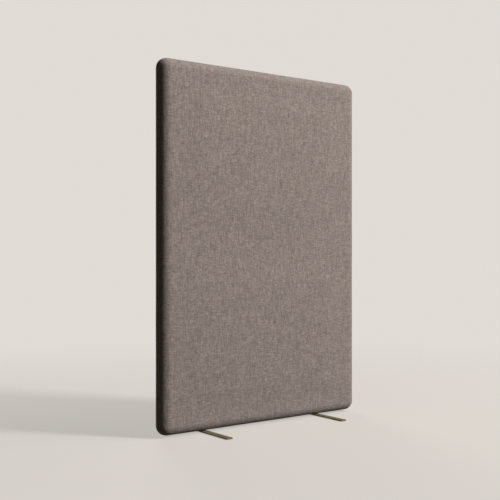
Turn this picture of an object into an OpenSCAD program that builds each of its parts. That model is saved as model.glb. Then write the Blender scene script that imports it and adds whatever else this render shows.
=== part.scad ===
// Free-standing acoustic divider screen.
// An upholstered panel with half-round edges stands on two flat steel feet.
// Origin: on the floor, under the middle of the panel. +X runs along the panel, +Z is up, the front faces -Y.
// All lengths are in millimetres.

/* [Screen] */
// Height of the whole screen above the floor
screen_h = 1500; // [1100:10:1900]
// Width of the upholstered panel
panel_w = 1040; // [850:10:1600]
// Thickness of the upholstered panel, whose edges are half round
panel_t = 80; // [74:1:110]

/* [Upholstery] */
// Thickness of the woven cover
cover_t = 1.5; // [0.8:0.1:3]
// Foam between the timber frame and the cover at the rim
edge_foam_t = 16; // [12:1:28]
// Width of the hook and loop tape that closes the cover underneath
closure_w = 20; // [12:1:30]
// Thickness of the closed hook and loop tape
closure_t = 2; // [1:0.5:4]

/* [Timber frame] */
// Depth of the timber through the panel
timber_t = 45; // [36:1:54]
// Face width of the two stiles
stile_w = 45; // [40:1:80]
// Face height of the three rails
rail_h = 45; // [40:1:80]
// Length sawn off the frame's outer corners, so that they stay inside the round foam
corner_cut = 14; // [12:1:30]
// Height of the middle rail's centre above the floor
mid_rail_z = 760; // [600:10:900]
// Diameter of the dowels that join rails to stiles
dowel_d = 10; // [6:1:12]
// Length of the dowels
dowel_l = 60; // [40:2:70]
// Distance between the two dowels of a joint
dowel_pitch = 22; // [18:1:28]

/* [Acoustic core] */
// Thickness of the sound barrier board in the middle
barrier_t = 3; // [2:0.5:6]
// Depth of the groove that holds the barrier board
groove_depth = 8; // [4:0.5:12]

/* [Feet] */
// Length of a foot bar
foot_l = 380; // [300:5:560]
// Width of a foot bar
foot_w = 30; // [26:1:50]
// Thickness of a foot bar
foot_t = 5; // [5:0.5:12]
// Broken edge along a foot bar
foot_arris = 0.6; // [0.2:0.1:1.2]
// Radius of a foot bar's corners, seen from above
foot_corner_r = 4; // [1.5:0.5:12]
// Distance from the panel's end to the middle of a foot
foot_inset = 215; // [150:5:290]
// Length of a felt pad
pad_l = 60; // [30:5:100]
// Distance from a foot bar's tip to its felt pad
pad_inset = 8; // [3:1:30]
// Felt left short of the foot bar's long edges
pad_margin = 3; // [1:0.5:6]
// Thickness of a felt pad
pad_t = 1.5; // [0.5:0.5:5]

/* [Foot fixing] */
// Diameter of the countersunk screw
screw_d = 8; // [6:1:10]
// Diameter of the screw's head
screw_head_d = 16; // [13:1:17]
// Length of the screw that grips in the threaded insert
screw_grip = 15.5; // [10:0.5:20]
// Size of the hexagon socket across its flats
socket_af = 5; // [3:0.5:6]
// Depth of the hexagon socket
socket_depth = 2.5; // [1.5:0.5:3]
// Diameter of the spacer between the bar and the frame
spacer_d = 28; // [22:1:40]
// Thickness of the nylon washer that the bar turns against
washer_t = 1; // [0.5:0.5:3]
// Diameter of the threaded insert in the bottom rail
insert_d = 14; // [13:1:20]
// Length of the threaded insert
insert_l = 20; // [14:1:24]

/* [Hidden] */

$fn = 96;

// Clearance between soft layers, and round a board in its groove
layer_gap = 0.3;
// Radial clearance of a dowel, insert or screw in its hole
hole_gap = 0.1;
// Clearance round the screw's countersunk head
head_gap = 0.4;
// Depth left free behind a dowel or an insert
end_room = 1;
// Hook and loop tape stops this far from a spacer
closure_stop = 8;
// Overrun of every cut
over = 1;

// Heights of the parts of a foot
bar_z = pad_t;
washer_z = bar_z + foot_t;
spacer_z = washer_z + washer_t;

// The panel: its half-round edge turns about a straight axis all the way round
panel_z = spacer_z;
edge_r = panel_t / 2;
inner_r = edge_r - cover_t;
foam_r = inner_r - layer_gap;
axis_x = panel_w / 2 - edge_r;
axis_z = panel_z + edge_r;
axis_h = screen_h - panel_z - panel_t;

// The outer faces of the timber frame
frame_x = panel_w / 2 - cover_t - edge_foam_t;
frame_z = panel_z + cover_t + edge_foam_t;
frame_top_z = screen_h - cover_t - edge_foam_t;
frame_y = timber_t / 2;
bay_x = frame_x - stile_w;
top_rail_z = frame_top_z - rail_h;
middle_rail_z = mid_rail_z - rail_h / 2;
groove_w = barrier_t + 2 * layer_gap;
rail_heights = [frame_z, middle_rail_z, top_rail_z];

// The two bays of the core, as their lowest and highest points
lower_bay = [frame_z + rail_h, middle_rail_z];
upper_bay = [middle_rail_z + rail_h, top_rail_z];

// The feet
foot_x = panel_w / 2 - foot_inset;
pad_w = foot_w - 2 * pad_margin;
pad_y = foot_l / 2 - pad_inset - pad_l;
pivot_r = screw_d / 2 + hole_gap;
screw_l = frame_z + screw_grip - bar_z;
insert_hole_h = max(insert_l, screw_grip) + end_room;
spacer_hole_r = spacer_d / 2 + layer_gap;

// The three runs of tape between and beyond the spacers
closure_clear = spacer_d / 2 + closure_stop;
closure_runs = [
    [-axis_x, -foot_x - closure_clear],
    [-foot_x + closure_clear, foot_x - closure_clear],
    [foot_x + closure_clear, axis_x]
];

fabric_color = [0.55, 0.50, 0.48];
foam_color = [0.90, 0.87, 0.72];
timber_color = [0.80, 0.66, 0.46];
board_color = [0.42, 0.30, 0.20];
felt_color = [0.74, 0.75, 0.76];
bronze_color = [0.38, 0.34, 0.26];
nylon_color = [0.12, 0.12, 0.12];
steel_color = [0.72, 0.73, 0.75];

// Outline of an upright edge beside its axis, with a quarter disc at each end of a straight run
module edge_outline(radius, run) {
    square([radius, run]);
    translate([0, run])
        quarter_disc(radius);
    mirror([0, 1])
        quarter_disc(radius);
}

module quarter_disc(radius) {
    intersection() {
        circle(r = radius);
        square([2 * radius, 2 * radius]);
    }
}

// Ring sector about the Z axis, from a first angle through a sweep
module ring_sector(inner, outer, run, first, sweep) {
    rotate([0, 0, first])
        rotate_extrude(angle = sweep)
            translate([inner, 0])
                square([outer - inner, run]);
}

// A length laid along +X, whose angle 0 points down and angle 270 to the front
module laid_along(x0, z0) {
    translate([x0, 0, z0])
        rotate([0, 90, 0])
            children();
}

// Places a child at both feet
module at_feet() {
    for (side = [-1, 1])
        translate([side * foot_x, 0, 0])
            children();
}

module tube(outer_r, bore_r, bottom, height) {
    translate([0, 0, bottom])
        difference() {
            cylinder(r = outer_r, h = height);
            translate([0, 0, -over])
                cylinder(r = bore_r, h = height + 2 * over);
        }
}

// The front half of the cover: a flat face, two round ends with their corners, and a round top and bottom
module cover_half() {
    color(fabric_color)
        difference() {
            union() {
                translate([-axis_x, -edge_r, axis_z])
                    cube([2 * axis_x, cover_t, axis_h]);
                cover_end();
                mirror([1, 0, 0])
                    cover_end();
                laid_along(-axis_x, axis_z)
                    ring_sector(inner_r, edge_r, 2 * axis_x, 270, 90);
                laid_along(-axis_x, axis_z + axis_h)
                    ring_sector(inner_r, edge_r, 2 * axis_x, 180, 90);
            }
            at_feet()
                translate([0, 0, panel_z - over])
                    cylinder(r = spacer_hole_r, h = edge_r);
        }
}

module cover_end() {
    translate([axis_x, 0, axis_z])
        rotate([0, 0, 270])
            rotate_extrude(angle = 90)
                difference() {
                    edge_outline(edge_r, axis_h);
                    edge_outline(inner_r, axis_h);
                }
}

// Hook and loop tape along the underside, inside the cover
module closure_tape(bottom_gap, side_gap) {
    half_angle = asin((closure_w / 2 + side_gap) / foam_r);
    for (run = closure_runs)
        laid_along(run[0], axis_z)
            ring_sector(
                foam_r - closure_t - side_gap,
                foam_r + bottom_gap,
                run[1] - run[0],
                -half_angle,
                2 * half_angle
            );
}

module closure_strips() {
    color(nylon_color)
        closure_tape(0, 0);
}

// Solid block with the outline of the timber frame, its four corners sawn off
module frame_block() {
    translate([0, frame_y, 0])
        rotate([90, 0, 0])
            linear_extrude(timber_t)
                polygon([
                    [-frame_x + corner_cut, frame_z],
                    [frame_x - corner_cut, frame_z],
                    [frame_x, frame_z + corner_cut],
                    [frame_x, frame_top_z - corner_cut],
                    [frame_x - corner_cut, frame_top_z],
                    [-frame_x + corner_cut, frame_top_z],
                    [-frame_x, frame_top_z - corner_cut],
                    [-frame_x, frame_z + corner_cut]
                ]);
}

// Flat foam sheet on the front of the frame
module foam_sheet() {
    color(foam_color)
        translate([-axis_x, -foam_r, axis_z])
            cube([2 * axis_x, foam_r - frame_y, axis_h]);
}

// Rounded foam on one end of the frame, with both corners
module foam_end() {
    color(foam_color)
        difference() {
            translate([axis_x, 0, axis_z])
                rotate([0, 0, 270])
                    rotate_extrude(angle = 180)
                        edge_outline(foam_r, axis_h);
            frame_block();
        }
}

module foam_edge_top() {
    color(foam_color)
        difference() {
            laid_along(-axis_x, axis_z + axis_h)
                ring_sector(0, foam_r, 2 * axis_x, 90, 180);
            frame_block();
        }
}

module foam_edge_bottom() {
    color(foam_color)
        difference() {
            laid_along(-axis_x, axis_z)
                ring_sector(0, foam_r, 2 * axis_x, 270, 180);
            frame_block();
            closure_tape(over, layer_gap);
            at_feet()
                translate([0, 0, panel_z - over])
                    cylinder(r = spacer_hole_r, h = frame_z - panel_z + 2 * over);
        }
}

// Dowels or their holes: two side by side at both ends of each rail
module dowel_set(radius, half_length) {
    for (rail_z = rail_heights, side = [-1, 1], row = [-1, 1])
        translate([side * bay_x - half_length, row * dowel_pitch / 2, rail_z + rail_h / 2])
            rotate([0, 90, 0])
                cylinder(r = radius, h = 2 * half_length);
}

module dowel_holes() {
    dowel_set(dowel_d / 2 + hole_gap, dowel_l / 2 + end_room);
}

module frame_dowels() {
    color(timber_color)
        dowel_set(dowel_d / 2, dowel_l / 2);
}

// The stile at the +X end, grooved for the barrier board
module stile() {
    color(timber_color)
        difference() {
            intersection() {
                frame_block();
                translate([bay_x, -frame_y - over, frame_z - over])
                    cube([stile_w + over, timber_t + 2 * over, frame_top_z - frame_z + 2 * over]);
            }
            translate([bay_x - over, -groove_w / 2, frame_z - over])
                cube([groove_depth + over, groove_w, frame_top_z - frame_z + 2 * over]);
            dowel_holes();
        }
}

// A rail, grooved for the barrier board in its top face, its underside or both
module rail(bottom, groove_above, groove_below) {
    color(timber_color)
        difference() {
            translate([-bay_x, -frame_y, bottom])
                cube([2 * bay_x, timber_t, rail_h]);
            if (groove_above)
                translate([-bay_x - over, -groove_w / 2, bottom + rail_h - groove_depth])
                    cube([2 * (bay_x + over), groove_w, groove_depth + over]);
            if (groove_below)
                translate([-bay_x - over, -groove_w / 2, bottom - over])
                    cube([2 * (bay_x + over), groove_w, groove_depth + over]);
            dowel_holes();
        }
}

module frame_top_rail() {
    rail(top_rail_z, false, true);
}

module frame_mid_rail() {
    rail(middle_rail_z, true, true);
}

module frame_bottom_rail() {
    difference() {
        rail(frame_z, true, false);
        at_feet()
            translate([0, 0, frame_z - over])
                cylinder(r = insert_d / 2 + hole_gap, h = over + insert_hole_h);
    }
}

// Barrier board of one bay, held in the grooves
module barrier(bay) {
    lap = groove_depth - layer_gap;
    color(board_color)
        translate([-bay_x - lap, -barrier_t / 2, bay[0] - lap])
            cube([2 * (bay_x + lap), barrier_t, bay[1] - bay[0] + 2 * lap]);
}

// Absorber batt of one bay, in front of the barrier board
module absorber(bay) {
    color(felt_color)
        translate([-bay_x + layer_gap, -frame_y, bay[0] + layer_gap])
            cube([
                2 * (bay_x - layer_gap),
                frame_y - barrier_t / 2,
                bay[1] - bay[0] - 2 * layer_gap
            ]);
}

module insert_nuts() {
    color(steel_color)
        at_feet()
            tube(insert_d / 2, pivot_r, frame_z, insert_l);
}

module foot_spacers() {
    color(nylon_color)
        at_feet()
            tube(spacer_d / 2, pivot_r, spacer_z, frame_z - spacer_z);
}

module foot_washers() {
    color(nylon_color)
        at_feet()
            tube(spacer_d / 2, pivot_r, washer_z, washer_t);
}

// Countersunk screw, head down, flush with the underside of the bar
module foot_screws() {
    head_h = (screw_head_d - screw_d) / 2;
    color(steel_color)
        at_feet()
            translate([0, 0, bar_z])
                difference() {
                    union() {
                        cylinder(r1 = screw_head_d / 2, r2 = screw_d / 2, h = head_h);
                        translate([0, 0, head_h])
                            cylinder(r = screw_d / 2, h = screw_l - head_h);
                    }
                    translate([0, 0, -over])
                        cylinder(d = socket_af / cos(30), h = over + socket_depth, $fn = 6);
                }
}

// A foot bar seen from above: a rectangle with round corners
module foot_outline() {
    square([foot_w, foot_l - 2 * foot_corner_r], center = true);
    square([foot_w - 2 * foot_corner_r, foot_l], center = true);
    for (x_side = [-1, 1], y_side = [-1, 1])
        translate([x_side * (foot_w / 2 - foot_corner_r), y_side * (foot_l / 2 - foot_corner_r)])
            circle(r = foot_corner_r);
}

// Foot bar across the panel, with broken edges, rounded corners and a countersunk hole
module foot_bar() {
    half_w = foot_w / 2;
    sink_r = screw_head_d / 2 + head_gap;
    color(bronze_color)
        translate([0, 0, bar_z])
            difference() {
                intersection() {
                    translate([0, foot_l / 2, 0])
                        rotate([90, 0, 0])
                            linear_extrude(foot_l)
                                polygon([
                                    [-half_w + foot_arris, 0],
                                    [half_w - foot_arris, 0],
                                    [half_w, foot_arris],
                                    [half_w, foot_t - foot_arris],
                                    [half_w - foot_arris, foot_t],
                                    [-half_w + foot_arris, foot_t],
                                    [-half_w, foot_t - foot_arris],
                                    [-half_w, foot_arris]
                                ]);
                    linear_extrude(foot_t)
                        foot_outline();
                }
                translate([0, 0, -over])
                    cylinder(r = pivot_r, h = foot_t + 2 * over);
                cylinder(r1 = sink_r, r2 = pivot_r, h = sink_r - pivot_r);
            }
}

// The two felt pads under the tips of a foot bar
module foot_pads() {
    color(felt_color)
        for (end = [0, 1])
            mirror([0, end, 0])
                translate([-pad_w / 2, pad_y, 0])
                    cube([pad_w, pad_l, pad_t]);
}

module front_to_rear() {
    mirror([0, 1, 0])
        children();
}

module right_to_left() {
    mirror([1, 0, 0])
        children();
}

cover_half();  // cover_front
front_to_rear() cover_half();  // cover_rear
closure_strips();
foam_sheet();  // foam_front
front_to_rear() foam_sheet();  // foam_rear
right_to_left() foam_end();  // foam_edge_left
foam_end();  // foam_edge_right
foam_edge_top();
foam_edge_bottom();
right_to_left() stile();  // frame_stile_left
stile();  // frame_stile_right
frame_top_rail();
frame_mid_rail();
frame_bottom_rail();
frame_dowels();
barrier(upper_bay);  // barrier_upper
barrier(lower_bay);  // barrier_lower
absorber(upper_bay);  // absorber_front_upper
absorber(lower_bay);  // absorber_front_lower
front_to_rear() absorber(upper_bay);  // absorber_rear_upper
front_to_rear() absorber(lower_bay);  // absorber_rear_lower
insert_nuts();
foot_spacers();
foot_washers();
foot_screws();
translate([-foot_x, 0, 0]) foot_bar();  // foot_bar_left
translate([foot_x, 0, 0]) foot_bar();  // foot_bar_right
translate([-foot_x, 0, 0]) foot_pads();  // foot_pads_left
translate([foot_x, 0, 0]) foot_pads();  // foot_pads_right
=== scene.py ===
import math

import bmesh
import bpy
import numpy as np
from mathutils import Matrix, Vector, noise


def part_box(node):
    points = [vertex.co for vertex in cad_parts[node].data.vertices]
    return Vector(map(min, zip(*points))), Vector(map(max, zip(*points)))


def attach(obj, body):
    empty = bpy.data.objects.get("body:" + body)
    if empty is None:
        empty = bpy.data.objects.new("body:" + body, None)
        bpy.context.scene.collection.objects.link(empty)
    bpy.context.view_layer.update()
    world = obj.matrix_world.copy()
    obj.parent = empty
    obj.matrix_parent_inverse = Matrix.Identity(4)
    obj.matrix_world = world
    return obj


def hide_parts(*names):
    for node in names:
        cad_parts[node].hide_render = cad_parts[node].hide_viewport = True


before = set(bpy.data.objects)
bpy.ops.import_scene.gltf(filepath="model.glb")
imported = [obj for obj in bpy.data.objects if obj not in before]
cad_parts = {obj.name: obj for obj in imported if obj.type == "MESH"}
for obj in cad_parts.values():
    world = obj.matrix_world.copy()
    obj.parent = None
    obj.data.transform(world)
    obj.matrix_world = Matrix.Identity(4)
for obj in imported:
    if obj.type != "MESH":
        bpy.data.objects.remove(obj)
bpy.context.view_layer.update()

scene = bpy.context.scene


# Camera: level, at half the screen's height, turned 37 degrees to the panel
camera = {
    "imagePixels": 500,
    "focalPixels": 892.5,      # focal length in pixels of the photograph
    "eye": (-2.3623, -3.0030, 0.7407),
    "yaw": 37.46,              # degrees from +Y towards +X
    "sensor": 36.0,            # mm
    "clip": (0.05, 100),
}


def placeCamera():
    data = bpy.data.cameras.new("camera")
    data.sensor_width = camera["sensor"]
    data.lens = camera["focalPixels"] / camera["imagePixels"] * camera["sensor"]
    data.clip_start, data.clip_end = camera["clip"]
    eye = bpy.data.objects.new("camera", data)
    eye.location = camera["eye"]
    eye.rotation_euler = (math.radians(90), 0, math.radians(-camera["yaw"]))
    scene.collection.objects.link(eye)
    scene.camera = eye


placeCamera()
scene.view_settings.view_transform = "Standard"


# Node helpers

def addNode(tree, kind, inputs=None, **settings):
    new = tree.nodes.new(kind)
    for name, value in settings.items():
        setattr(new, name, value)
    for name, value in (inputs or {}).items():
        feed(tree, value, new.inputs[name])
    return new


def feed(tree, value, socket):
    if isinstance(value, bpy.types.NodeSocket):
        tree.links.new(value, socket)
    else:
        socket.default_value = value


def maths(tree, operation, first, second=0.0, clamp=False):
    inputs = {0: first, 1: second}
    return addNode(tree, "ShaderNodeMath", inputs, operation=operation, use_clamp=clamp).outputs[0]


def plus(tree, first, second):
    return maths(tree, "ADD", first, second)


def minus(tree, first, second, clamp=False):
    return maths(tree, "SUBTRACT", first, second, clamp)


def times(tree, first, second, clamp=False):
    return maths(tree, "MULTIPLY", first, second, clamp)


def over(tree, first, second):
    return maths(tree, "DIVIDE", first, second)


# The value times the first number, plus the second
def spread(tree, value, numbers):
    return plus(tree, times(tree, value, numbers[0]), numbers[1])


def vectorMaths(tree, operation, inputs, result="Vector"):
    return addNode(tree, "ShaderNodeVectorMath", inputs, operation=operation).outputs[result]


def vector(tree, x, y, z=0.0):
    return addNode(tree, "ShaderNodeCombineXYZ", {"X": x, "Y": y, "Z": z}).outputs[0]


def axes(tree, value):
    return addNode(tree, "ShaderNodeSeparateXYZ", {"Vector": value}).outputs


def noiseAt(tree, place, scale=1.0, detail=2.0, roughness=0.5):
    inputs = {"Vector": place, "Scale": scale, "Detail": detail, "Roughness": roughness}
    return addNode(tree, "ShaderNodeTexNoise", inputs).outputs["Fac"]


def mixColor(tree, share, first, second):
    inputs = {0: share, 6: first, 7: second}
    return addNode(tree, "ShaderNodeMix", inputs, data_type="RGBA").outputs[2]


def mixShader(tree, share, first, second):
    return addNode(tree, "ShaderNodeMixShader", {0: share, 1: first, 2: second}).outputs[0]


def newGroup(name, inputs, outputs):
    tree = bpy.data.node_groups.new(name, "ShaderNodeTree")
    for label, kind, value in inputs:
        socket = tree.interface.new_socket(label, in_out="INPUT", socket_type="NodeSocket" + kind)
        if value is not None:
            socket.default_value = value
    for label, kind in outputs:
        tree.interface.new_socket(label, in_out="OUTPUT", socket_type="NodeSocket" + kind)
    return tree, tree.nodes.new("NodeGroupInput").outputs, tree.nodes.new("NodeGroupOutput").inputs


def useGroup(tree, group, inputs):
    new = tree.nodes.new("ShaderNodeGroup")
    new.node_tree = group
    for name, value in inputs.items():
        feed(tree, value, new.inputs[name])
    return new.outputs


# Shared effects. Scales are in waves a metre, and pairs are a factor and what is added.

weaveShape = {
    "wanderScale": 70.0,
    "bend": 0.95,              # share of half a wave that a float bends over
    "float": (0.45, 0.55),     # height along a float, from its bend
    "plies": (2.0, 3.0),       # turns of the twist across and along a float
    "grooves": (0.07, 0.93),   # height from the twist
    "yarnStep": 3.713,         # step in the noise from yarn to yarn, so that neighbours differ
    "layers": {                # sheets of the noise, one for each pattern
        "warpTone": 0.0, "weftTone": 5.1,
        "warpFleck": 3.7, "weftFleck": 8.9,
        "bundleUp": 2.3, "bundleOver": 9.7,
    },
    "slowerUp": 0.5,           # the bundles are twice as long up the cloth as over it
    "mottleScale": 170.0,
    "hairScale": 2600.0,
    "thickness": (0.6, 0.8),   # height of a yarn, from its bundle
    "roughness": (-0.1, 0.96),  # lower on the yarns than between them
}


def weaveGroup():
    tree, given, out = newGroup(
        "wovenMelange",
        [
            ("Place", "Vector", None),
            ("Yarn", "Float", 0.0018),
            ("Wander", "Float", 1.0),
            ("Gap Shade", "Float", 0.5),
            ("Fleck Length", "Float", 0.004),
            ("Slub Length", "Float", 0.05),
            ("Slub Width", "Float", 0.005),
            ("Yarn Contrast", "Float", 0.5),
            ("Fleck Contrast", "Float", 0.3),
            ("Slub Contrast", "Float", 0.5),
            ("Mottle Contrast", "Float", 0.3),
            ("Hair Contrast", "Float", 0.4),
            ("Dark", "Color", (0.1, 0.1, 0.1, 1)),
            ("Middle", "Color", (0.3, 0.3, 0.3, 1)),
            ("Light", "Color", (0.5, 0.5, 0.5, 1)),
        ],
        [("Color", "Color"), ("Height", "Float"), ("Roughness", "Float")],
    )
    # The yarns wander a little to both sides of a straight line
    waves = {"Vector": given["Place"], "Scale": weaveShape["wanderScale"], "Detail": 2.0}
    wander = addNode(tree, "ShaderNodeTexNoise", waves).outputs["Color"]
    offset = vectorMaths(tree, "SUBTRACT", {0: wander, 1: (0.5, 0.5, 0.5)})
    reach = times(tree, given["Yarn"], given["Wander"])
    shift = vectorMaths(tree, "SCALE", {0: offset, "Scale": reach})
    place = axes(tree, vectorMaths(tree, "ADD", {0: given["Place"], 1: shift}))
    across, along = place["X"], place["Y"]
    u = over(tree, across, given["Yarn"])
    v = over(tree, along, given["Yarn"])
    warpNumber = maths(tree, "FLOOR", u)
    weftNumber = maths(tree, "FLOOR", v)
    # Over and under: warp yarns lie on top where both numbers are even or both are odd
    parity = maths(tree, "MODULO", plus(tree, warpNumber, weftNumber), 2.0)
    warpOnTop = maths(tree, "LESS_THAN", maths(tree, "ABSOLUTE", parity), 0.5)

    def onTop(ofWarp, ofWeft):
        inputs = {0: warpOnTop, 2: ofWeft, 3: ofWarp}
        return addNode(tree, "ShaderNodeMix", inputs, data_type="FLOAT").outputs[0]

    fromWarp = minus(tree, maths(tree, "FRACT", u), 0.5)
    fromWeft = minus(tree, maths(tree, "FRACT", v), 0.5)
    crosswise = onTop(fromWarp, fromWeft)
    lengthwise = onTop(fromWeft, fromWarp)
    # The upper yarn is round across its run and bends down at both ends of its float
    wide = times(tree, crosswise, 2.0)
    bulge = minus(tree, 1.0, times(tree, wide, wide), clamp=True)
    bend = maths(tree, "COSINE", times(tree, lengthwise, weaveShape["bend"] * math.pi))
    floating = spread(tree, bend, weaveShape["float"])
    turnsAcross, turnsAlong = weaveShape["plies"]
    plies = plus(tree, times(tree, crosswise, turnsAcross), times(tree, lengthwise, turnsAlong))
    twist = maths(tree, "SINE", times(tree, plies, 2 * math.pi))
    crown = times(tree, times(tree, bulge, floating), spread(tree, twist, weaveShape["grooves"]))

    # Noise that runs along a yarn or bundle and starts afresh in the next one
    def alongYarn(number, run, layer, upright, detail=2.0):
        own = times(tree, number, weaveShape["yarnStep"])
        x, y = (own, run) if upright else (run, own)
        return noiseAt(tree, vector(tree, x, y, weaveShape["layers"][layer]), detail=detail)

    # Each yarn has its own tone, which drifts along it
    alongSlub = over(tree, along, given["Slub Length"])
    acrossSlub = over(tree, across, given["Slub Length"])
    warpTone = alongYarn(warpNumber, alongSlub, "warpTone", True)
    weftTone = alongYarn(weftNumber, acrossSlub, "weftTone", False)
    yarnTone = onTop(warpTone, weftTone)
    # Lighter and darker fibres make short streaks in it, about as long as a few floats
    alongFleck = over(tree, along, given["Fleck Length"])
    acrossFleck = over(tree, across, given["Fleck Length"])
    warpFleck = alongYarn(warpNumber, alongFleck, "warpFleck", True)
    weftFleck = alongYarn(weftNumber, acrossFleck, "weftFleck", False)
    fleck = onTop(warpFleck, weftFleck)
    # Thick and thin bundles of yarn, longer up the cloth than over it, and a broader mottle
    bundleUp = maths(tree, "FLOOR", over(tree, across, given["Slub Width"]))
    bundleOver = maths(tree, "FLOOR", over(tree, along, given["Slub Width"]))
    runUp = times(tree, alongSlub, weaveShape["slowerUp"])
    slubUp = alongYarn(bundleUp, runUp, "bundleUp", True, detail=1.0)
    slubOver = alongYarn(bundleOver, acrossSlub, "bundleOver", False, detail=1.0)
    slub = minus(tree, plus(tree, slubUp, slubOver), 1.0)
    mottle = noiseAt(tree, given["Place"], weaveShape["mottleScale"], detail=3.0, roughness=0.6)
    hairs = noiseAt(tree, given["Place"], weaveShape["hairScale"])
    tone = 0.5
    for value, middle, contrast in (
        (yarnTone, 0.5, "Yarn Contrast"),
        (fleck, 0.5, "Fleck Contrast"),
        (slub, 0.0, "Slub Contrast"),
        (mottle, 0.5, "Mottle Contrast"),
        (hairs, 0.5, "Hair Contrast"),
    ):
        part = times(tree, minus(tree, value, middle), given[contrast])
        tone = plus(tree, part, tone)
    # Dark to middle over the lower half of the tones, middle to light over the upper half
    lower = times(tree, tone, 2.0, clamp=True)
    upper = minus(tree, times(tree, tone, 2.0), 1.0, clamp=True)
    body = mixColor(tree, lower, given["Dark"], given["Middle"])
    yarns = mixColor(tree, upper, body, given["Light"])
    # Painted shade: the colour is darkened towards the dark colour where the yarns dip into the
    # gaps between them
    low = minus(tree, 1.0, crown, clamp=True)
    between = times(tree, times(tree, low, low), given["Gap Shade"])
    feed(tree, mixColor(tree, between, yarns, given["Dark"]), out["Color"])
    feed(tree, times(tree, crown, spread(tree, slub, weaveShape["thickness"])), out["Height"])
    feed(tree, spread(tree, crown, weaveShape["roughness"]), out["Roughness"])
    return tree


fibreShape = {
    "swirl": 0.6,              # waves over the size of a fibre
    "fine": 2.5,
    "distortion": 2.5,
}


def fibreGroup():
    tree, given, out = newGroup(
        "looseFibres",
        [
            ("Place", "Vector", None),
            ("Size", "Float", 0.003),
            ("Dark", "Color", (0, 0, 0, 1)),
            ("Light", "Color", (1, 1, 1, 1)),
        ],
        [("Color", "Color"), ("Height", "Float")],
    )
    grow = over(tree, 1.0, given["Size"])
    place = vectorMaths(tree, "SCALE", {0: given["Place"], "Scale": grow})
    swirl = addNode(tree, "ShaderNodeTexNoise", {
        "Vector": place,
        "Scale": fibreShape["swirl"],
        "Distortion": fibreShape["distortion"],
    }).outputs["Fac"]
    fine = noiseAt(tree, place, fibreShape["fine"], detail=3.0)
    height = times(tree, plus(tree, swirl, fine), 0.5)
    feed(tree, mixColor(tree, height, given["Dark"], given["Light"]), out["Color"])
    feed(tree, height, out["Height"])
    return tree


dustPatches = {"scale": 60.0, "detail": 4.0, "roughness": 0.65}


def dustGroup():
    tree, given, out = newGroup(
        "floorDust",
        [("Place", "Vector", None), ("Reach", "Float", 0.12), ("Amount", "Float", 0.3)],
        [("Mask", "Float")],
    )
    height = axes(tree, given["Place"])["Z"]
    low = minus(tree, 1.0, over(tree, height, given["Reach"]), clamp=True)
    patchy = noiseAt(tree, given["Place"], **dustPatches)
    feed(tree, times(tree, times(tree, low, patchy), given["Amount"]), out["Mask"])
    return tree


wornPatches = {"scale": 220.0, "detail": 4.0, "roughness": 0.7}
wearSharpness = 3.0


def wearGroup():
    tree, given, out = newGroup(
        "edgeWear",
        [
            ("Place", "Vector", None),
            ("Half Size", "Vector", None),
            ("Centre", "Vector", None),
            ("Width", "Float", 0.0015),
        ],
        [("Mask", "Float")],
    )
    fromCentre = vectorMaths(tree, "SUBTRACT", {0: given["Place"], 1: given["Centre"]})
    folded = vectorMaths(tree, "ABSOLUTE", {0: fromCentre})
    left = axes(tree, vectorMaths(tree, "SUBTRACT", {0: given["Half Size"], 1: folded}))
    # An edge is where two of the three distances are small, so the middle one is the measure
    smaller = maths(tree, "MINIMUM", left["X"], left["Y"])
    larger = maths(tree, "MAXIMUM", left["X"], left["Y"])
    middle = maths(tree, "MAXIMUM", smaller, maths(tree, "MINIMUM", larger, left["Z"]))
    ragged = noiseAt(tree, given["Place"], **wornPatches)
    near = minus(tree, ragged, over(tree, middle, given["Width"]))
    feed(tree, times(tree, near, wearSharpness, clamp=True), out["Mask"])
    return tree


weave = weaveGroup()
fibres = fibreGroup()
dust = dustGroup()
wear = wearGroup()


# Materials

def newMaterial(name, roughness=0.6, metallic=0.0, sheen=0.0, specular=0.5):
    made = bpy.data.materials.new(name)
    made.use_nodes = True
    tree = made.node_tree
    shader = tree.nodes["Principled BSDF"].inputs
    shader["Roughness"].default_value = roughness
    shader["Metallic"].default_value = metallic
    shader["Sheen Weight"].default_value = sheen
    shader["Specular IOR Level"].default_value = specular
    return made, tree, shader


def addBump(tree, shader, height, distance, strength=1.0):
    inputs = {"Height": height, "Distance": distance, "Strength": strength}
    bump = addNode(tree, "ShaderNodeBump", inputs)
    feed(tree, bump.outputs["Normal"], shader["Normal"])


def objectPlace(tree):
    return addNode(tree, "ShaderNodeTexCoord").outputs["Object"]


coverCloth = {
    "weave": {
        "dark": (0.054, 0.044, 0.038, 1),
        "middle": (0.250, 0.209, 0.192, 1),
        "light": (0.495, 0.438, 0.414, 1),
        "yarn": 0.0018,
        "fleckLength": 0.0042,
        "slubLength": 0.019,
        "slubWidth": 0.0036,
        "yarnContrast": 1.0,
        "fleckContrast": 1.0,
        "slubContrast": 0.47,
        "mottleContrast": 0.08,
        "hairContrast": 0.45,
        "wander": 1.1,         # in yarn widths
        # share of painted shade in the gaps between the yarns
        "gapShade": 0.55,
    },
    "relief": 0.0005,
    "sheen": 0.15,
    "sheenRoughness": 0.5,
    "specular": 0.2,
    "dust": (0.50, 0.46, 0.42, 1),
    "dustReach": 0.09,
    "dustAmount": 0.12,
}


# The input that a value is for: "fleckLength" is for "Fleck Length"
def inputLabel(key):
    return "".join(" " + letter if letter.isupper() else letter for letter in key).title()


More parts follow.
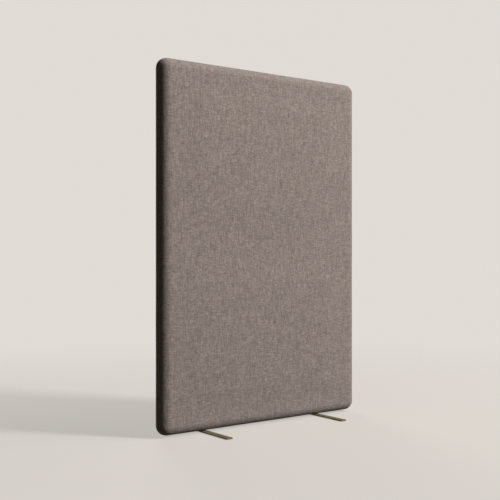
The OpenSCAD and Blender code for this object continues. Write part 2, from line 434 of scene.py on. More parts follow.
def fabricMaterial():
    sheen, specular = coverCloth["sheen"], coverCloth["specular"]
    made, tree, shader = newMaterial("coverCloth", sheen=sheen, specular=specular)
    shader["Sheen Roughness"].default_value = coverCloth["sheenRoughness"]
    yarns = {inputLabel(key): value for key, value in coverCloth["weave"].items()}
    yarns["Place"] = addNode(tree, "ShaderNodeUVMap", uv_map="clothPlace").outputs["UV"]
    cloth = useGroup(tree, weave, yarns)
    dusty = useGroup(tree, dust, {
        "Place": objectPlace(tree),
        "Reach": coverCloth["dustReach"],
        "Amount": coverCloth["dustAmount"],
    })["Mask"]
    feed(tree, mixColor(tree, dusty, cloth["Color"], coverCloth["dust"]), shader["Base Color"])
    feed(tree, cloth["Roughness"], shader["Roughness"])
    addBump(tree, shader, cloth["Height"], coverCloth["relief"])
    return made


footPaint = {
    "color": (0.142, 0.112, 0.056, 1),
    "shade": (0.108, 0.085, 0.042, 1),
    "cloudScale": 14.0,        # of the drift from color to shade
    "grain": 900.0,
    "relief": 0.00012,
    "roughness": (0.12, 0.46),  # from the grain
    "specular": 0.35,
    "bare": (0.30, 0.27, 0.21, 1),
    "bareMetallic": 0.8,
    "wornWidth": 0.0009,
    "dust": (0.34, 0.31, 0.26, 1),
    "dustRoughness": 0.5,
    "dustReach": 0.03,
    "dustAmount": 0.12,
}


def paintMaterial(name, low, high):
    made, tree, shader = newMaterial(name, specular=footPaint["specular"])
    place = objectPlace(tree)
    cloud = noiseAt(tree, place, footPaint["cloudScale"], detail=3.0)
    grain = noiseAt(tree, place, footPaint["grain"])
    worn = useGroup(tree, wear, {
        "Place": place,
        "Half Size": (high - low) / 2,
        "Centre": (high + low) / 2,
        "Width": footPaint["wornWidth"],
    })["Mask"]
    dusty = useGroup(tree, dust, {
        "Place": place,
        "Reach": footPaint["dustReach"],
        "Amount": footPaint["dustAmount"],
    })["Mask"]
    paint = mixColor(tree, cloud, footPaint["shade"], footPaint["color"])
    paint = mixColor(tree, worn, paint, footPaint["bare"])
    feed(tree, mixColor(tree, dusty, paint, footPaint["dust"]), shader["Base Color"])
    feed(tree, times(tree, worn, footPaint["bareMetallic"]), shader["Metallic"])
    rough = spread(tree, grain, footPaint["roughness"])
    dull = times(tree, dusty, footPaint["dustRoughness"])
    feed(tree, plus(tree, rough, dull), shader["Roughness"])
    addBump(tree, shader, grain, footPaint["relief"])
    return made


foamCells = {
    "dark": (0.52, 0.46, 0.28, 1),
    "light": (0.84, 0.79, 0.58, 1),
    "size": 0.0012,
    "relief": 0.0006,
    "sheen": 0.1,
}
absorberFibres = {
    "dark": (0.30, 0.31, 0.32, 1),
    "light": (0.72, 0.73, 0.74, 1),
    "size": 0.006,
    "relief": 0.0012,
    "sheen": 0.1,
}
pressedBoard = {
    "dark": (0.10, 0.052, 0.026, 1),
    "light": (0.24, 0.135, 0.072, 1),
    "size": 0.0025,
    "relief": 0.0002,
    "sheen": 0.0,
}
padFelt = {
    "dark": (0.022, 0.020, 0.018, 1),
    "light": (0.085, 0.078, 0.070, 1),
    "size": 0.0016,
    "relief": 0.0005,
    "sheen": 0.1,
}


def looseMaterial(name, stuff):
    made, tree, shader = newMaterial(name, roughness=0.95, sheen=stuff["sheen"], specular=0.15)
    loose = useGroup(tree, fibres, {
        "Place": objectPlace(tree),
        "Size": stuff["size"],
        "Dark": stuff["dark"],
        "Light": stuff["light"],
    })
    feed(tree, loose["Color"], shader["Base Color"])
    addBump(tree, shader, loose["Height"], stuff["relief"])
    return made


timber = {
    "pale": ((0.42, 0.25, 0.11, 1), (0.70, 0.52, 0.30, 1)),   # the rings and the wood between
    "beech": ((0.40, 0.22, 0.10, 1), (0.58, 0.38, 0.20, 1)),
    "alongGrain": 1.2,         # scale of the pattern along the grain and across it
    "acrossGrain": 22,
    "ringScale": 1.6,
    "ringDistortion": 5.0,
    "ringShare": 0.7,
    "poreScale": 18.0,
    "poreShare": 0.3,
    "relief": 0.0002,
    "reliefStrength": 0.6,
}


def timberMaterial(name, colors, alongX):
    made, tree, shader = newMaterial(name, roughness=0.6, specular=0.3)
    along, across = timber["alongGrain"], timber["acrossGrain"]
    scale = (along, across, across) if alongX else (across, across, along)
    stretch = {"Vector": objectPlace(tree), "Scale": scale}
    place = addNode(tree, "ShaderNodeMapping", stretch).outputs[0]
    rings = addNode(tree, "ShaderNodeTexWave", {
        "Vector": place,
        "Scale": timber["ringScale"],
        "Distortion": timber["ringDistortion"],
        "Detail": 3.0,
    }).outputs["Fac"]
    pores = noiseAt(tree, place, timber["poreScale"], detail=4.0)
    fromRings = times(tree, rings, timber["ringShare"])
    fromPores = times(tree, pores, timber["poreShare"])
    dark, light = colors
    grain = mixColor(tree, plus(tree, fromRings, fromPores), light, dark)
    feed(tree, grain, shader["Base Color"])
    addBump(tree, shader, pores, timber["relief"], timber["reliefStrength"])
    return made


zinc = {
    "colors": ((0.42, 0.43, 0.45, 1), (0.66, 0.67, 0.68, 1)),
    "spangle": 450.0,
    "roughness": (0.2, 0.25),  # from the spangle
}


def steelMaterial():
    made, tree, shader = newMaterial("zincSteel", metallic=1.0)
    spangle = noiseAt(tree, objectPlace(tree), zinc["spangle"], detail=3.0)
    feed(tree, mixColor(tree, spangle, *zinc["colors"]), shader["Base Color"])
    feed(tree, spread(tree, spangle, zinc["roughness"]), shader["Roughness"])
    return made


nylon = {
    "colors": ((0.010, 0.010, 0.010, 1), (0.024, 0.024, 0.023, 1)),
    "grain": 1200.0,
    "relief": 0.00008,
    "roughness": (0.2, 0.42),  # from the grain
}


def nylonMaterial():
    made, tree, shader = newMaterial("blackNylon")
    grain = noiseAt(tree, objectPlace(tree), nylon["grain"])
    feed(tree, mixColor(tree, grain, *nylon["colors"]), shader["Base Color"])
    feed(tree, spread(tree, grain, nylon["roughness"]), shader["Roughness"])
    addBump(tree, shader, grain, nylon["relief"])
    return made


tape = {
    "colors": ((0.035, 0.034, 0.033, 1), (0.008, 0.008, 0.008, 1)),
    "hooks": 700.0,
    "relief": 0.0006,
}


def tapeMaterial():
    made, tree, shader = newMaterial("hookLoopTape", roughness=0.85, sheen=0.2, specular=0.3)
    cells = {"Vector": objectPlace(tree), "Scale": tape["hooks"]}
    hooks = addNode(tree, "ShaderNodeTexVoronoi", cells).outputs["Distance"]
    feed(tree, mixColor(tree, hooks, *tape["colors"]), shader["Base Color"])
    addBump(tree, shader, hooks, tape["relief"])
    return made


thread = {
    "colors": ((0.115, 0.095, 0.085, 1), (0.215, 0.185, 0.170, 1)),
    "twist": 900.0,
    "relief": 0.0001,
}


def threadMaterial():
    made, tree, shader = newMaterial("sewingThread", roughness=0.55, sheen=0.2)
    bands = {"Vector": objectPlace(tree), "Scale": thread["twist"]}
    twist = addNode(tree, "ShaderNodeTexWave", bands, bands_direction="DIAGONAL").outputs["Fac"]
    feed(tree, mixColor(tree, twist, *thread["colors"]), shader["Base Color"])
    addBump(tree, shader, twist, thread["relief"])
    return made


fabric = fabricMaterial()
sewingThread = threadMaterial()
feltMaterial = looseMaterial("padFelt", padFelt)

# The CAD nodes that keep their shape: the first start that fits a node's name gives its material
steel = steelMaterial()
blackNylon = nylonMaterial()
nodeFinishes = (
    ("frame_stile", timberMaterial("timberStile", timber["pale"], alongX=False)),
    ("frame_dowels", timberMaterial("beechDowel", timber["beech"], alongX=True)),
    ("frame_", timberMaterial("timberRail", timber["pale"], alongX=True)),
    ("foam_", looseMaterial("foamCells", foamCells)),
    ("absorber_", looseMaterial("absorberFibres", absorberFibres)),
    ("barrier_", looseMaterial("pressedBoard", pressedBoard)),
    ("foot_spacers", blackNylon),
    ("foot_washers", blackNylon),
    ("foot_screws", steel),
    ("insert_nuts", steel),
    ("closure_strips", tapeMaterial()),
)


def dressNodes():
    for node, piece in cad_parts.items():
        for start, material in nodeFinishes:
            if node.startswith(start):
                piece.data.materials.clear()
                piece.data.materials.append(material)
                break


dressNodes()
print("materials made")


# Mesh helpers

def readPoints(mesh, data, field, width=1):
    values = np.zeros(len(mesh.vertices) * width)
    data.foreach_get(field, values)
    return values.reshape(-1, width) if width > 1 else values


def withModifiers(piece):
    return piece.evaluated_get(bpy.context.evaluated_depsgraph_get())


# Turns the piece with its modifiers into a plain mesh
def bake(piece):
    made = bpy.data.meshes.new_from_object(withModifiers(piece))
    piece.modifiers.clear()
    old = piece.data
    piece.data = made
    made.name = piece.name
    bpy.data.meshes.remove(old)


# The cover: two halves of cloth, sewn together round the middle of the half-round edge

cover = {
    "faceStep": 0.016,             # grid on the flat faces
    "ringAngles": (9, 18, 27, 36, 45, 54, 63, 72, 80, 86, 88.6, 90),   # degrees from the face
    "turnedIn": (0.0004,),         # the cut edge of the cloth at the bottom of the seam
    "seamDepth": 0.0012,           # the cloth dips into the seam
    "seamReach": 0.0060,
    "seamGap": 0.00004,            # half the gap between the two lips
    "thickness": 0.0013,
    "subdivisions": 1,
    "foamGap": 0.0001,             # the cloth stays at least this far off the foam
    "swellCap": 0.0035,
    "timberHold": 0.55,            # how firmly the cloth is held over the timber
    "bayEase": 0.45,               # how much less over the middle of a bay
    "edgeReach": 0.12,             # from the timber to where the bay is soft
    "railReach": 0.14,
    "unevenness": (0.00045, 0.17),   # height and length of the padding's waves
    "pucker": (0.00055, 0.0065, 0.008),  # height, length along the seam, reach from it
    "gather": (0.00055, 0.011, 0.026),   # the same round the corners
    "creaseReach": 0.1,            # no pucker or gather is felt further from the seam
    "clothShift": (4.62, 1.54),    # the rear half is cut this far from the front one in the cloth
    "fill": 0.9,
}
swelling = {
    "pressure": 0.5,
    "frames": 20,
    "quality": 6,
    "mass": 0.3,
    "stretch": 20,
    "shear": 8,
    "bend": 2,
}
frontLow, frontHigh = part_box("cover_front")
edgeR = (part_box("cover_rear")[1][1] - frontLow[1]) / 2
axisX = frontHigh[0] - edgeR
axisLow = frontLow[2] + edgeR
axisHigh = frontHigh[2] - edgeR
midRailLow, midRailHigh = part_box("frame_mid_rail")
railMiddle = (midRailLow[2] + midRailHigh[2]) / 2
coverRings = len(cover["ringAngles"])
turnedRings = len(cover["turnedIn"])
allRings = coverRings + turnedRings


def faceStops(low, high):
    count = round((high - low) / cover["faceStep"])
    return [low + (high - low) * n / count for n in range(count + 1)]


# Each line of the grid: its place on the flat face, its ring and the side the ring is on
def gridLines(stops):
    lines = [(stops[0], ring, -1) for ring in range(allRings, 0, -1)]
    lines += [(stop, 0, 0) for stop in stops]
    return lines + [(stops[-1], ring, 1) for ring in range(1, allRings + 1)]


columns = gridLines(faceStops(-axisX, axisX))
rows = gridLines(faceStops(axisLow, axisHigh))
seamColumns = (turnedRings, len(columns) - 1 - turnedRings)
seamRows = (turnedRings, len(rows) - 1 - turnedRings)


# How far a ring lies outside the straight axis, off the middle plane, and along the cloth
# from the seam
def ringPoint(ring):
    if ring > coverRings:
        inward = cover["turnedIn"][ring - coverRings - 1]
        return edgeR - cover["seamDepth"] - inward, cover["seamGap"], 0.0
    angle = math.radians(((0,) + cover["ringAngles"])[ring])
    toSeam = edgeR * (math.pi / 2 - angle)
    dip = cover["seamDepth"] * max(0.0, 1 - toSeam / cover["seamReach"]) ** 2
    radius = edgeR - dip
    return radius * math.sin(angle), max(radius * math.cos(angle), cover["seamGap"]), toSeam


# A grid point: its place, its place on the flat cloth, its distance to the seam,
# the seam's nearest point and how far it is in a corner
def coverPoint(column, row, side):
    (baseX, ringX, sideX), (baseZ, ringZ, sideZ) = column, row
    ring = max(ringX, ringZ)
    outward, fromMiddle, toSeam = ringPoint(ring)
    if ring == 0:
        turn = 0.0
    elif ringX >= ringZ:
        turn = math.radians(45) * ringZ / ringX
    else:
        turn = math.radians(90) - math.radians(45) * ringX / ringZ
    dx, dz = sideX * math.cos(turn), sideZ * math.sin(turn)
    place = Vector((baseX + outward * dx, side * fromMiddle, baseZ + outward * dz))
    inward = edgeR - outward - cover["seamDepth"] if ring > coverRings else 0.0
    run = edgeR * math.pi / 2 - toSeam + inward
    flat = (baseX + run * dx, baseZ + run * dz) if ring else (baseX, baseZ)
    seam = Vector((baseX + edgeR * dx, 0, baseZ + edgeR * dz))
    return place, flat, toSeam, seam, math.sin(2 * turn)


def coverGrid(side):
    return [[coverPoint(column, row, side) for row in rows] for column in columns]


# Corners of the grid's faces between two columns and two rows, turned outwards on the half's side
def gridFaces(side, columnEnds, rowEnds):
    faces = []
    for c in range(*columnEnds):
        for r in range(*rowEnds):
            corners = [(c, r), (c + 1, r), (c + 1, r + 1), (c, r + 1)]
            faces.append(corners if side < 0 else corners[::-1])
    return faces


# The seam is fixed, and the timber behind the foam holds the cloth more than the soft bays do
def heldBy(place, onSeam):
    if onSeam:
        return 1.0
    edge = min(axisX - abs(place.x), place.z - axisLow, axisHigh - place.z)
    rail = abs(place.z - railMiddle)
    near = min(max(edge, 0.0) / cover["edgeReach"], rail / cover["railReach"], 1.0)
    return cover["timberHold"] - cover["bayEase"] * near


# Both halves as one closed skin: its object, its points and their numbers by side, column and row
def closedSkin(grids):
    numbers, points, held = {}, [], []
    for side, grid in grids.items():
        for c in range(seamColumns[0], seamColumns[1] + 1):
            for r in range(seamRows[0], seamRows[1] + 1):
                place = grid[c][r][0]
                onSeam = c in seamColumns or r in seamRows
                if onSeam and side > 0:
                    numbers[side, c, r] = numbers[-1, c, r]
                    continue
                numbers[side, c, r] = len(points)
                points.append(Vector((place.x, 0 if onSeam else place.y, place.z)))
                held.append(heldBy(place, onSeam))
    faces = []
    for side in grids:
        for face in gridFaces(side, seamColumns, seamRows):
            faces.append([numbers[side, c, r] for c, r in face])
    mesh = bpy.data.meshes.new("coverSkin")
    mesh.from_pydata(points, [], faces)
    skin = bpy.data.objects.new("coverSkin", mesh)
    scene.collection.objects.link(skin)
    group = skin.vertex_groups.new(name="held")
    for number, weight in enumerate(held):
        group.add([number], weight, "REPLACE")
    return skin, points, numbers


# Blows the closed skin up a little by a cloth simulation: its points' numbers and their moves
def swollen(grids):
    skin, points, numbers = closedSkin(grids)
    cloth = skin.modifiers.new("cloth", "CLOTH")
    settings = cloth.settings
    settings.quality = swelling["quality"]
    settings.mass = swelling["mass"]
    settings.tension_stiffness = swelling["stretch"]
    settings.compression_stiffness = swelling["stretch"]
    settings.shear_stiffness = swelling["shear"]
    settings.bending_stiffness = swelling["bend"]
    settings.use_pressure = True
    settings.uniform_pressure_force = swelling["pressure"]
    settings.vertex_group_mass = "held"
    settings.pin_stiffness = 1.0
    settings.effector_weights.gravity = 0
    cloth.collision_settings.use_collision = False
    cloth.point_cache.frame_start = 1
    cloth.point_cache.frame_end = swelling["frames"]
    for number in range(1, swelling["frames"] + 1):
        scene.frame_set(number)
    blown = withModifiers(skin).data
    before = np.array([list(point) for point in points])
    moved = readPoints(blown, blown.vertices, "co", 3) - before
    size = np.linalg.norm(moved, axis=1)
    moved *= (np.minimum(size, cover["swellCap"]) / np.maximum(size, 1e-9))[:, None]
    most, mean = (round(float(value) * 1000, 2) for value in (size.max(), size.mean()))
    print("cover swells by up to", most, "mm, mean", mean)
    bpy.data.objects.remove(skin)
    scene.frame_set(1)
    return numbers, moved


# One half of the grid as a mesh, with its cloth map and what crease() reads at each point
def halfMesh(name, side, grid, numbers, moved):
    flatGrid = [point for line in grid for point in line]
    places, flats, toSeams, seams, corners = zip(*flatGrid)
    places = [place.copy() for place in places]
    if numbers:
        for c in range(len(columns)):
            for r in range(len(rows)):
                # The turned-in allowance follows the seam in front of it
                nearC = min(max(c, seamColumns[0]), seamColumns[1])
                nearR = min(max(r, seamRows[0]), seamRows[1])
                places[c * len(rows) + r] += Vector(moved[numbers[side, nearC, nearR]])
    ends = (0, len(columns) - 1), (0, len(rows) - 1)
    faces = [[c * len(rows) + r for c, r in face] for face in gridFaces(side, *ends)]
    mesh = bpy.data.meshes.new(name)
    mesh.from_pydata(places, [], faces)
    uv = mesh.uv_layers.new(name="clothPlace")
    shiftX, shiftY = cover["clothShift"] if side > 0 else (0.0, 0.0)
    for loop in mesh.loops:
        flatX, flatY = flats[loop.vertex_index]
        uv.data[loop.index].uv = (flatX + shiftX, flatY + shiftY)
    mesh.attributes.new("toSeam", "FLOAT", "POINT").data.foreach_set("value", toSeams)
    mesh.attributes.new("corner", "FLOAT", "POINT").data.foreach_set("value", corners)
    seamPlace = mesh.attributes.new("seamPlace", "FLOAT_VECTOR", "POINT")
    seamPlace.data.foreach_set("vector", [x for seam in seams for x in seam])
    return mesh


# The padding's slight waves, the puckers along the seam and the gathers round the corners
def crease(mesh):
    toSeam = readPoints(mesh, mesh.attributes["toSeam"].data, "value")
    corner = readPoints(mesh, mesh.attributes["corner"].data, "value")
    seam = readPoints(mesh, mesh.attributes["seamPlace"].data, "vector", 3)
    places = readPoints(mesh, mesh.vertices, "co", 3)
    normals = readPoints(mesh, mesh.vertex_normals, "vector", 3)
    otherFolds = Vector((7.7, 0, 0))   # the gathers' own part of the noise
    waveHeight, waveLength = cover["unevenness"]
    lifts = np.zeros(len(places))
    for number, place in enumerate(places):
        lift = waveHeight * noise.noise(Vector(place / waveLength))
        if toSeam[number] < cover["creaseReach"]:
            at = Vector(seam[number])
            height, length, reach = cover["pucker"]
            lift += height * noise.noise(at / length) * math.exp(-toSeam[number] / reach)
            height, length, reach = cover["gather"]
            folded = math.exp(-toSeam[number] / reach) * corner[number]
            lift += height * noise.noise(at / length + otherFolds) * folded
        lifts[number] = lift
    mesh.vertices.foreach_set("co", (places + normals * lifts[:, None]).ravel())
    mesh.update()


# Every point keeps its distance to the core line or plane that the half-round edge is drawn from
def keepOffFoam(mesh):
    places = readPoints(mesh, mesh.vertices, "co", 3)
    core = places.copy()
    core[:, 0] = np.clip(places[:, 0], -axisX, axisX)
    core[:, 1] = 0
    core[:, 2] = np.clip(places[:, 2], axisLow, axisHigh)
    away = places - core
    length = np.linalg.norm(away, axis=1)
    least = -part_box("foam_front")[0][1] + cover["foamGap"]
    mesh.vertices.foreach_set("co", (core + away * np.maximum(1, least / length)[:, None]).ravel())
    mesh.update()


def coverHalf(name, node, side, grid, numbers, moved):
    piece = bpy.data.objects.new(name, halfMesh(name, side, grid, numbers, moved))
    scene.collection.objects.link(piece)
    smoother = piece.modifiers.new("smoother", "SUBSURF")
    smoother.levels = cover["subdivisions"]
    smoother.render_levels = cover["subdivisions"]
    bake(piece)
    crease(piece.data)
    piece.data.shade_smooth()
    thick = piece.modifiers.new("thick", "SOLIDIFY")
    thick.thickness = cover["thickness"]
    thick.offset = -1
    bake(piece)
    keepOffFoam(piece.data)
    for label in ("toSeam", "corner", "seamPlace"):
        piece.data.attributes.remove(piece.data.attributes[label])
    piece.data.materials.append(fabric)
    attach(piece, "panel")
    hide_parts(node)
    return piece


coverGrids = {-1: coverGrid(-1), 1: coverGrid(1)}
skinNumbers, skinMoves = swollen(coverGrids)
coverFront = coverHalf("coverFront", "cover_front", -1, coverGrids[-1], skinNumbers, skinMoves)
coverRear = coverHalf("coverRear", "cover_rear", 1, coverGrids[1], skinNumbers, skinMoves)
print("cover made:", len(coverFront.data.polygons), "faces a half")


# Stitching that holds the hook and loop tape along the underside

stitching = {
    "pitch": 0.0046,
    "length": 0.0034,
    "thickness": 0.0009,
    "jitter": 0.06,       # radians
    "fromSeam": 0.0075,   # along Y
    "fromSpacer": 0.008,  # a row stops this far from a foot's spacer
    "step": 0.005,        # between the points at which a row is laid on the cloth
    "proud": 0.00016,     # the thread's middle stands this far off the cloth
    "segments": 8,
    "rings": 6,
    "seed": 7,
}


def stitchTree():
    tree = bpy.data.node_groups.new("stitchRow", "GeometryNodeTree")
    tree.interface.new_socket("Geometry", in_out="INPUT", socket_type="NodeSocketGeometry")
    for label in ("Pitch", "Length", "Thickness", "Jitter"):
        tree.interface.new_socket(label, in_out="INPUT", socket_type="NodeSocketFloat")
    tree.interface.new_socket("Seed", in_out="INPUT", socket_type="NodeSocketInt")
    tree.interface.new_socket("Material", in_out="INPUT", socket_type="NodeSocketMaterial")
    tree.interface.new_socket("Geometry", in_out="OUTPUT", socket_type="NodeSocketGeometry")
    given = tree.nodes.new("NodeGroupInput").outputs
    curve = addNode(tree, "GeometryNodeMeshToCurve", {"Mesh": given["Geometry"]}).outputs[0]
    spacing = {"Curve": curve, "Length": given["Pitch"]}
    points = addNode(tree, "GeometryNodeCurveToPoints", spacing, mode="LENGTH").outputs
    # A bead one unit across, stretched along the row to a stitch
    ball = {"Segments": stitching["segments"], "Rings": stitching["rings"], "Radius": 0.5}
    bead = addNode(tree, "GeometryNodeMeshUVSphere", ball).outputs["Mesh"]
    size = vector(tree, given["Thickness"], given["Thickness"], given["Length"])
    stitch = addNode(tree, "GeometryNodeTransform", {"Geometry": bead, "Scale": size}).outputs[0]
    most = vector(tree, given["Jitter"], given["Jitter"])
    least = vectorMaths(tree, "SCALE", {0: most, "Scale": -1.0})
    limits = {0: least, 1: most, "Seed": given["Seed"]}
    tilt = addNode(tree, "FunctionNodeRandomValue", limits, data_type="FLOAT_VECTOR").outputs[0]
    placed = addNode(tree, "GeometryNodeInstanceOnPoints", {
        "Points": points["Points"],
        "Instance": stitch,
        "Rotation": points["Rotation"],
    }).outputs[0]
    turning = {"Instances": placed, "Rotation": tilt}
    turned = addNode(tree, "GeometryNodeRotateInstances", turning).outputs[0]
    real = addNode(tree, "GeometryNodeRealizeInstances", {"Geometry": turned}).outputs[0]
    painted = {"Geometry": real, "Material": given["Material"]}
    done = addNode(tree, "GeometryNodeSetMaterial", painted).outputs[0]
    feed(tree, done, tree.nodes.new("NodeGroupOutput").inputs["Geometry"])
    return tree


def setInput(modifier, label, value):
    for item in modifier.node_group.interface.items_tree:
        if item.item_type == "SOCKET" and item.in_out == "INPUT" and item.name == label:
            modifier[item.identifier] = value


# Height of the cloth's underside at a place
def clothBelow(cloth, x, y):
    below = Vector((x, y, axisLow - 2 * edgeR))
    hit, place = cloth.ray_cast(below, Vector((0, 0, 1)))[:2]
    return place.z if hit else axisLow - math.sqrt(edgeR ** 2 - y ** 2)


# Two rows under the panel, one on each side of the closing line, between and beyond the spacers
def stitchRows():
    bpy.context.view_layer.update()
    tapeLow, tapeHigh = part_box("closure_strips")
    spacerLow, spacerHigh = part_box("foot_spacers")
    spacerR = (spacerHigh[1] - spacerLow[1]) / 2
    footAt = spacerHigh[0] - spacerR
    clear = spacerR + stitching["fromSpacer"]
    runs = (
        (tapeLow[0], -footAt - clear),
        (-footAt + clear, footAt - clear),
        (footAt + clear, tapeHigh[0]),
    )
    points, edges = [], []
    for cloth, side in ((coverFront, -1), (coverRear, 1)):
        y = side * stitching["fromSeam"]
        for start, end in runs:
            count = round((end - start) / stitching["step"])
            first = len(points)
            for n in range(count + 1):
                x = start + (end - start) * n / count
                points.append((x, y, clothBelow(cloth, x, y) - stitching["proud"]))
            edges += [(n, n + 1) for n in range(first, len(points) - 1)]
    mesh = bpy.data.meshes.new("closureStitches")
    mesh.from_pydata(points, edges, [])
    piece = bpy.data.objects.new("closureStitches", mesh)
    scene.collection.objects.link(piece)
    sewing = piece.modifiers.new("sewing", "NODES")
    sewing.node_group = stitchTree()
    for key in ("pitch", "length", "thickness", "jitter", "seed"):
        setInput(sewing, key.title(), stitching[key])
    setInput(sewing, "Material", sewingThread)
    bake(piece)
    piece.data.shade_smooth()
    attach(piece, "panel")
    return piece


closureStitches = stitchRows()
print("stitches made:", len(closureStitches.data.polygons), "faces")


# The feet: flat bars with softly broken edges and a countersunk hole, on felt pads

foot = {
    "cornerR": 0.004,         # of the upright edges at the tips
    "arris": 0.0007,
    "arrisSegments": 3,
    "sharpAngle": 35,         # degrees, above which an edge is shaded sharp
    "headR": 0.008,
    "headGap": 0.0004,
    "screwR": 0.004,
    "screwGap": 0.0001,
    "holeSides": 64,
    "overcut": 0.001,         # how far the cutter passes both faces of the bar
}
felt = {
    "cornerR": 0.004,
    "arris": 0.0005,
    "arrisSegments": 3,
    "sharpAngle": 50,
}
cornerSegments = 8
squareAngle = math.radians(60)    # edges that turn further than this are arrises


def roundOff(shape, edges, radius, segments):
    bmesh.ops.bevel(
        shape,
        geom=edges,
        offset=radius,
        segments=segments,
        profile=0.5,
        affect="EDGES",
    )


# A block whose upright edges and arrises are rounded
def blockMesh(name, low, high, look):
    mesh = bpy.data.meshes.new(name)
    shape = bmesh.new()
    bmesh.ops.create_cube(shape, size=1)
    for vertex in shape.verts:
        vertex.co = [low[n] if vertex.co[n] < 0 else high[n] for n in range(3)]
    upright = [e for e in shape.edges if abs(e.verts[0].co.z - e.verts[1].co.z) > 1e-6]
    roundOff(shape, upright, look["cornerR"], cornerSegments)
    arrises = [e for e in shape.edges if e.calc_face_angle(0) > squareAngle]
    roundOff(shape, arrises, look["arris"], look["arrisSegments"])
    bmesh.ops.recalc_face_normals(shape, faces=shape.faces)
    shape.to_mesh(mesh)
    shape.free()
    return mesh


# Cutter for the countersunk hole: a cone below, a straight bore above
def sinkMesh(x, low, high):
    sinkR = foot["headR"] + foot["headGap"]
    boreR = foot["screwR"] + foot["screwGap"]
    beyond = foot["overcut"]
    profile = [
        (sinkR + beyond, low - beyond),
        (sinkR, low),
        (boreR, low + sinkR - boreR),
        (boreR, high + beyond),
    ]
    sides = foot["holeSides"]
    points, faces = [], []
    for radius, z in profile:
        for n in range(sides):
            turn = 2 * math.pi * n / sides
            points.append((x + radius * math.cos(turn), radius * math.sin(turn), z))
    for ring in range(len(profile) - 1):
        for n in range(sides):
            after = (n + 1) % sides
            a, b = ring * sides, (ring + 1) * sides
            faces.append((a + n, a + after, b + after, b + n))
    faces.append(tuple(range(sides))[::-1])
    faces.append(tuple((len(profile) - 1) * sides + n for n in range(sides)))
    mesh = bpy.data.meshes.new("sink")
    mesh.from_pydata(points, [], faces)
    return mesh


def nodeBox(node):
    return [Vector(corner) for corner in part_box(node)]


def makeFoot(side):
    node = "foot_bar_" + side
    low, high = nodeBox(node)
    bar = bpy.data.objects.new("footBar" + side.title(), blockMesh("footBar", low, high, foot))
    scene.collection.objects.link(bar)
    cutter = bpy.data.objects.new("sink", sinkMesh((low.x + high.x) / 2, low.z, high.z))
    scene.collection.objects.link(cutter)
    drill = bar.modifiers.new("drill", "BOOLEAN")
    drill.object = cutter
    drill.solver = "EXACT"
    bake(bar)
    bpy.data.objects.remove(cutter)
    bar.data.shade_smooth()
    bar.data.set_sharp_from_angle(angle=math.radians(foot["sharpAngle"]))
    bar.modifiers.new("evenShading", "WEIGHTED_NORMAL").keep_sharp = True
    bake(bar)
    bar.data.materials.clear()
    bar.data.materials.append(paintMaterial("footPaint" + side.title(), low, high))
    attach(bar, "foot_" + side)
    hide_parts(node)


# The two pads of a foot, as far from the panel's middle plane as the CAD node's are
def makePads(side):
    node = "foot_pads_" + side
    low, high = nodeBox(node)
    inner = min(abs(vertex.co.y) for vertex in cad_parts[node].data.vertices)
    made = bmesh.new()
    for start, end in ((low.y, -inner), (inner, high.y)):
        part = blockMesh("pad", (low.x, start, low.z), (high.x, end, high.z), felt)
        made.from_mesh(part)
        bpy.data.meshes.remove(part)
    mesh = bpy.data.meshes.new("footPads")
    made.to_mesh(mesh)
    made.free()
    pads = bpy.data.objects.new("footPads" + side.title(), mesh)
    scene.collection.objects.link(pads)
    mesh.shade_smooth()
    mesh.set_sharp_from_angle(angle=math.radians(felt["sharpAngle"]))
    mesh.materials.append(feltMaterial)
    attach(pads, "foot_" + side)
    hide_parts(node)


for side in ("left", "right"):
    makeFoot(side)
    makePads(side)
print("feet made")


# Stage: a pale floor that fades into the background, and soft lamps

stage = {
    "floorR": 14.0,
    "floorSides": 96,
    "floor": (0.52, 0.497, 0.474, 1),
    "floorPatches": {"scale": 1.1, "detail": 5.0},
    "floorShade": 0.97,        # the darker patches, as a share of the floor's colour
    "bounce": (0.07, 0.06, 0.046, 1),   # the floor as the screen sees it
    "background": (0.75, 0.71, 0.665, 1),
    "fade": (0.9, 3.8),        # the floor turns into the background between these distances
    "lift": 0.6,               # share of the background in the floor beside the screen
    "worldLight": (0.84, 0.75, 0.60, 1),
    "worldStrength": 0.05,
}
lamps = {
    "key": {
        "at": (7.3, -9.6, 8.4), "aim": (0, 0, 0.6),
        "size": 2.8, "watts": 2850, "color": (1.0, 0.965, 0.935),
    },
    "top": {
        "at": (1.8, -1.6, 5.6), "aim": (0, 0, 0),
        "size": 2.2, "watts": 80, "color": (1.0, 0.98, 0.95),
    },
    "rear": {
        "at": (4.2, 9.6, 3.6), "aim": (0, 0, 0.6),
        "size": 4.5, "watts": 620, "color": (1.0, 0.98, 0.95),
    },
}


# 1 for the camera and for what gloss or glass shows of the floor and the background
def seenDirectly(tree):
    seen = addNode(tree, "ShaderNodeLightPath").outputs
    shiny = maths(tree, "MAXIMUM", seen["Is Glossy Ray"], seen["Is Transmission Ray"])
    return maths(tree, "MAXIMUM", seen["Is Camera Ray"], shiny)


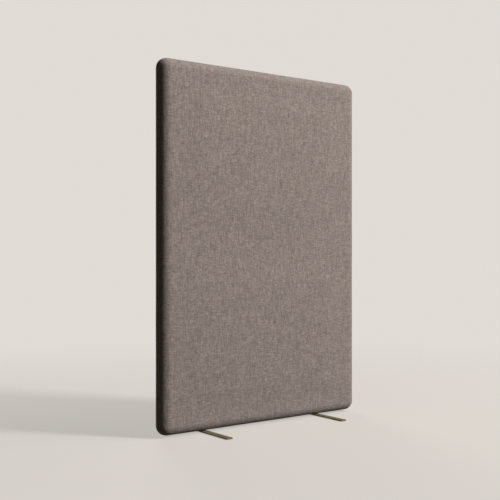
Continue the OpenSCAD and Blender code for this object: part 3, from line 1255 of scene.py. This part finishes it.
def floorMaterial():
    made, tree, shader = newMaterial("paleFloor", roughness=0.9, specular=0.05)
    place = objectPlace(tree)
    start, end = stage["fade"]
    fade = addNode(tree, "ShaderNodeMapRange", {
        "Value": vectorMaths(tree, "LENGTH", {0: place}, "Value"),
        "From Min": start,
        "From Max": end,
        "To Min": stage["lift"],
    }, interpolation_type="SMOOTHSTEP").outputs["Result"]
    patchy = noiseAt(tree, place, **stage["floorPatches"])
    shaded = [stage["floorShade"] * part for part in stage["floor"][:3]] + [1]
    tint = mixColor(tree, patchy, shaded, stage["floor"])
    direct = seenDirectly(tree)
    feed(tree, mixColor(tree, direct, stage["bounce"], tint), shader["Base Color"])
    glow = addNode(tree, "ShaderNodeEmission", {"Color": stage["background"], "Strength": 1.0})
    surface = tree.nodes["Principled BSDF"].outputs[0]
    seen = mixShader(tree, times(tree, fade, direct), surface, glow.outputs[0])
    feed(tree, seen, tree.nodes["Material Output"].inputs["Surface"])
    return made


def makeFloor():
    mesh = bpy.data.meshes.new("floor")
    shape = bmesh.new()
    sides = stage["floorSides"]
    bmesh.ops.create_circle(shape, cap_ends=True, segments=sides, radius=stage["floorR"])
    shape.to_mesh(mesh)
    shape.free()
    floor = bpy.data.objects.new("floor", mesh)
    scene.collection.objects.link(floor)
    mesh.materials.append(floorMaterial())


def makeWorld():
    world = bpy.data.worlds.new("studio")
    scene.world = world
    world.use_nodes = True
    tree = world.node_tree
    light = tree.nodes["Background"]
    light.inputs["Color"].default_value = stage["worldLight"]
    light.inputs["Strength"].default_value = stage["worldStrength"]
    shown = addNode(tree, "ShaderNodeBackground", {"Color": stage["background"], "Strength": 1.0})
    mix = mixShader(tree, seenDirectly(tree), light.outputs[0], shown.outputs[0])
    feed(tree, mix, tree.nodes["World Output"].inputs["Surface"])


def makeLamp(name, lamp):
    data = bpy.data.lights.new(name, "AREA")
    data.shape = "DISK"
    data.size = lamp["size"]
    data.energy = lamp["watts"]
    data.color = lamp["color"]
    made = bpy.data.objects.new(name, data)
    made.location = lamp["at"]
    aim = Vector(lamp["aim"]) - Vector(lamp["at"])
    made.rotation_euler = aim.to_track_quat("-Z", "Y").to_euler()
    scene.collection.objects.link(made)


makeFloor()
makeWorld()
for name, lamp in lamps.items():
    makeLamp(name, lamp)
print("stage made")
